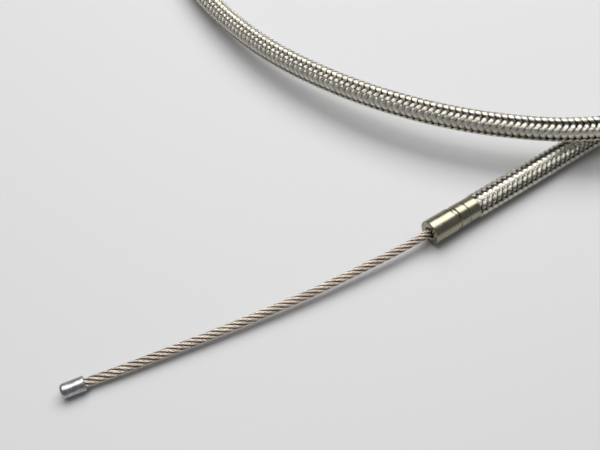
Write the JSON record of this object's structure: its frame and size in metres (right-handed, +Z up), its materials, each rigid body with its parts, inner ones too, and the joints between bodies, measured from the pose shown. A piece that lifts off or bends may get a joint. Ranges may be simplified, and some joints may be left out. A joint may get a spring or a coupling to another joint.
{
  "type": "braided control cable",
  "caption": "Pull cable with a stranded wire rope in a stainless braided housing, a crimped ferrule and end nipple, and a threaded adjuster with lock nut at the far end.",
  "frame": {"origin": "on the surface that the cable lies on, under the middle of the box round its fittings, ropes and inner pieces", "axes": "+X along the near ferrule from its mouth into the housing, +Z up from the surface"},
  "size_m": [0.2363, 0.1899, 0.0126],
  "materials": {
    "ferrule_plating": "smooth greenish gold plating, glossy",
    "liner_plastic": "smooth white low-friction plastic",
    "conduit_steel": "flat wire, dull steel",
    "sleeve_plastic": "smooth dark plastic",
    "braid_steel": "bright stainless wire braid",
    "tie_plastic": "black nylon strap",
    "rope_steel": "stranded steel wire, slightly warm",
    "nipple_zinc": "mottled grey zinc",
    "barrel_brass": "turned brass",
    "solder": "dull soft solder",
    "adjuster_metal": "bright turned metal",
    "boot_rubber": "soft black rubber",
    "washer_steel": "spring steel",
    "nut_steel": "zinc plated steel"
  },
  "bodies": {
    "housing": {"ferrule_a": "ferrule_plating", "liner_a": "liner_plastic", "conduit_a": "conduit_steel", "sleeve_a": "sleeve_plastic", "braid_a": "braid_steel", "housing_run_a": "braid_steel", "housing_coil": "braid_steel", "housing_run_b": "braid_steel", "coil_ties": "tie_plastic", "ferrule_b": "ferrule_plating", "liner_b": "liner_plastic", "conduit_b": "conduit_steel", "sleeve_b": "sleeve_plastic", "braid_b": "braid_steel"},
    "rope_end_a": {"rope_a": "rope_steel", "nipple_a": "nipple_zinc"},
    "rope_end_b": {"rope_b": "rope_steel", "nipple_b": "barrel_brass", "nipple_b_solder": "solder"},
    "adjuster": {"adjuster": "adjuster_metal", "dust_boot": "boot_rubber"},
    "washer": {"lock_washer": "washer_steel"},
    "nut": {"lock_nut": "nut_steel"}
  },
  "joints": [
    {"name": "rope_pull", "type": "slide", "parent": "housing", "child": "rope_end_a", "axis": [-1, 0, 0], "range_m": [0, 0.025]},
    {"name": "rope_draw_in", "type": "slide", "parent": "housing", "child": "rope_end_b", "axis": [-0.6428, 0.766, 0], "range_m": [0, 0.025]},
    {"name": "adjuster_turn", "type": "hinge", "parent": "housing", "child": "adjuster", "pos_m": [0.0748, 0.0229, 0.004], "axis": [0.6428, -0.766, 0], "continuous": true},
    {"name": "lock_nut_rise", "type": "slide", "parent": "adjuster", "child": "washer", "axis": [0.6428, -0.766, 0], "range_m": [0, 0.008]},
    {"name": "lock_nut_turn", "type": "hinge", "parent": "washer", "child": "nut", "pos_m": [0.0748, 0.0229, 0.004], "axis": [0.6428, -0.766, 0], "range_deg": [0, 3600]}
  ],
  "couplings": [
    {"joint": "rope_draw_in", "follows": "rope_pull", "ratio": 1},
    {"joint": "lock_nut_turn", "follows": "lock_nut_rise", "rad_per_m": 7854}
  ]
}
